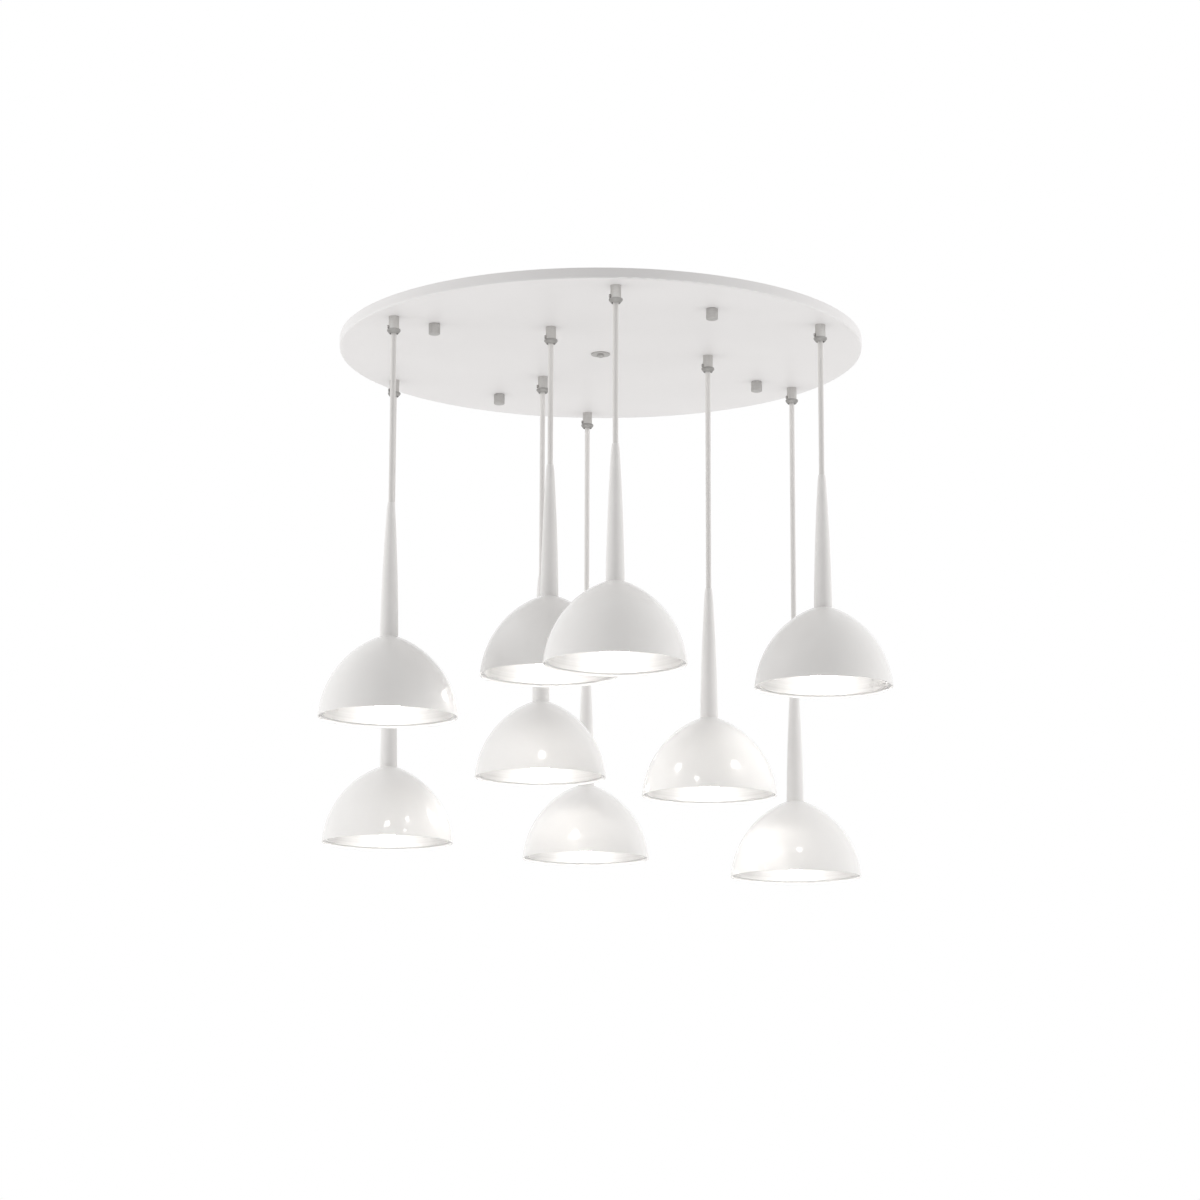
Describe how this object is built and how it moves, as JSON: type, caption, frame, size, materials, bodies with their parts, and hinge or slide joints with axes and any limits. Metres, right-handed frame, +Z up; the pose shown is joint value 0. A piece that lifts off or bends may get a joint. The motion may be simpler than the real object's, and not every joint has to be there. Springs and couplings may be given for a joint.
{
  "type": "cluster pendant light",
  "caption": "Ceiling light with a flat round canopy and a cluster of glossy white domes, each on a tapered stem hung from a height-adjustable cable.",
  "frame": {"origin": "centre of the ceiling bracket's top face, in the ceiling plane", "axes": "+Z up into the ceiling; -Y towards the viewer of the picture; +X to the right"},
  "size_m": [0.6264, 0.7, 0.599],
  "materials": {
    "canopy_white": "satin white paint",
    "bracket_steel": "zinc plated",
    "fastener_nickel": "satin nickel",
    "gland_nickel": "satin nickel",
    "terminal_plastic": "moulded",
    "cable_white": "smooth sheathed cable",
    "stem_grey": "matte warm grey white",
    "shade_white": "gloss white lacquer",
    "reflector_satin": "satin",
    "holder_white": "moulded",
    "lamp_opal": "opal, lit"
  },
  "bodies": {
    "canopy": {"canopy_plate": "canopy_white", "ceiling_bracket": "bracket_steel", "canopy_fasteners": "fastener_nickel", "cable_glands": "gland_nickel", "gland_fasteners": "fastener_nickel", "terminal_block": "terminal_plastic"},
    "cable_drop_1": {"cable_1": "cable_white"},
    "pendant_1": {"stem_1": "stem_grey", "shade_1": "shade_white", "reflector_1": "reflector_satin", "lamp_holder_1": "holder_white", "lamp_1": "lamp_opal"},
    "cable_drop_2": {"cable_2": "cable_white"},
    "pendant_2": {"stem_2": "stem_grey", "shade_2": "shade_white", "reflector_2": "reflector_satin", "lamp_holder_2": "holder_white", "lamp_2": "lamp_opal"},
    "cable_drop_3": {"cable_3": "cable_white"},
    "pendant_3": {"stem_3": "stem_grey", "shade_3": "shade_white", "reflector_3": "reflector_satin", "lamp_holder_3": "holder_white", "lamp_3": "lamp_opal"},
    "cable_drop_4": {"cable_4": "cable_white"},
    "pendant_4": {"stem_4": "stem_grey", "shade_4": "shade_white", "reflector_4": "reflector_satin", "lamp_holder_4": "holder_white", "lamp_4": "lamp_opal"},
    "cable_drop_5": {"cable_5": "cable_white"},
    "pendant_5": {"stem_5": "stem_grey", "shade_5": "shade_white", "reflector_5": "reflector_satin", "lamp_holder_5": "holder_white", "lamp_5": "lamp_opal"},
    "cable_drop_6": {"cable_6": "cable_white"},
    "pendant_6": {"stem_6": "stem_grey", "shade_6": "shade_white", "reflector_6": "reflector_satin", "lamp_holder_6": "holder_white", "lamp_6": "lamp_opal"},
    "cable_drop_7": {"cable_7": "cable_white"},
    "pendant_7": {"stem_7": "stem_grey", "shade_7": "shade_white", "reflector_7": "reflector_satin", "lamp_holder_7": "holder_white", "lamp_7": "lamp_opal"},
    "cable_drop_8": {"cable_8": "cable_white"},
    "pendant_8": {"stem_8": "stem_grey", "shade_8": "shade_white", "reflector_8": "reflector_satin", "lamp_holder_8": "holder_white", "lamp_8": "lamp_opal"},
    "cable_drop_9": {"cable_9": "cable_white"},
    "pendant_9": {"stem_9": "stem_grey", "shade_9": "shade_white", "reflector_9": "reflector_satin", "lamp_holder_9": "holder_white", "lamp_9": "lamp_opal"}
  },
  "joints": [
    {"name": "swing_1", "type": "hinge", "parent": "canopy", "child": "cable_drop_1", "pos_m": [0, -0.274, -0.0235], "axis": [0, -1, 0], "range_deg": [-8, 8]},
    {"name": "height_1", "type": "slide", "parent": "cable_drop_1", "child": "pendant_1", "axis": [0, 0, 1], "range_m": [-0.175, 0.016], "deforming": ["cable_1"]},
    {"name": "swing_2", "type": "hinge", "parent": "canopy", "child": "cable_drop_2", "pos_m": [0.23729, -0.137, -0.0235], "axis": [0.866, -0.5, 0], "range_deg": [-8, 8]},
    {"name": "height_2", "type": "slide", "parent": "cable_drop_2", "child": "pendant_2", "axis": [0, 0, 1], "range_m": [-0.177, 0.014], "deforming": ["cable_2"]},
    {"name": "swing_3", "type": "hinge", "parent": "canopy", "child": "cable_drop_3", "pos_m": [0.23729, 0.137, -0.0235], "axis": [0.866, 0.5, 0], "range_deg": [-8, 8]},
    {"name": "height_3", "type": "slide", "parent": "cable_drop_3", "child": "pendant_3", "axis": [0, 0, 1], "range_m": [0, 0.191], "deforming": ["cable_3"]},
    {"name": "swing_4", "type": "hinge", "parent": "canopy", "child": "cable_drop_4", "pos_m": [0, 0.274, -0.0235], "axis": [0, 1, 0], "range_deg": [-8, 8]},
    {"name": "height_4", "type": "slide", "parent": "cable_drop_4", "child": "pendant_4", "axis": [0, 0, 1], "range_m": [-0.035, 0.156], "deforming": ["cable_4"]},
    {"name": "swing_5", "type": "hinge", "parent": "canopy", "child": "cable_drop_5", "pos_m": [-0.23729, 0.137, -0.0235], "axis": [-0.866, 0.5, 0], "range_deg": [-8, 8]},
    {"name": "height_5", "type": "slide", "parent": "cable_drop_5", "child": "pendant_5", "axis": [0, 0, 1], "range_m": [-0.035, 0.156], "deforming": ["cable_5"]},
    {"name": "swing_6", "type": "hinge", "parent": "canopy", "child": "cable_drop_6", "pos_m": [-0.23729, -0.137, -0.0235], "axis": [-0.866, -0.5, 0], "range_deg": [-8, 8]},
    {"name": "height_6", "type": "slide", "parent": "cable_drop_6", "child": "pendant_6", "axis": [0, 0, 1], "range_m": [-0.138, 0.053], "deforming": ["cable_6"]},
    {"name": "swing_7", "type": "hinge", "parent": "canopy", "child": "cable_drop_7", "pos_m": [-0.062, -0.10739, -0.0235], "axis": [-0.5, -0.866, 0], "range_deg": [-4, 4]},
    {"name": "height_7", "type": "slide", "parent": "cable_drop_7", "child": "pendant_7", "axis": [0, 0, 1], "range_m": [-0.191, 0], "deforming": ["cable_7"]},
    {"name": "swing_8", "type": "hinge", "parent": "canopy", "child": "cable_drop_8", "pos_m": [0.124, 0, -0.0235], "axis": [1, 0, 0], "range_deg": [-4, 4]},
    {"name": "height_8", "type": "slide", "parent": "cable_drop_8", "child": "pendant_8", "axis": [0, 0, 1], "range_m": [-0.075, 0.116], "deforming": ["cable_8"]},
    {"name": "swing_9", "type": "hinge", "parent": "canopy", "child": "cable_drop_9", "pos_m": [-0.062, 0.10739, -0.0235], "axis": [-0.5, 0.866, 0], "range_deg": [-4, 4]},
    {"name": "height_9", "type": "slide", "parent": "cable_drop_9", "child": "pendant_9", "axis": [0, 0, 1], "range_m": [-0.109, 0.082], "deforming": ["cable_9"]}
  ]
}
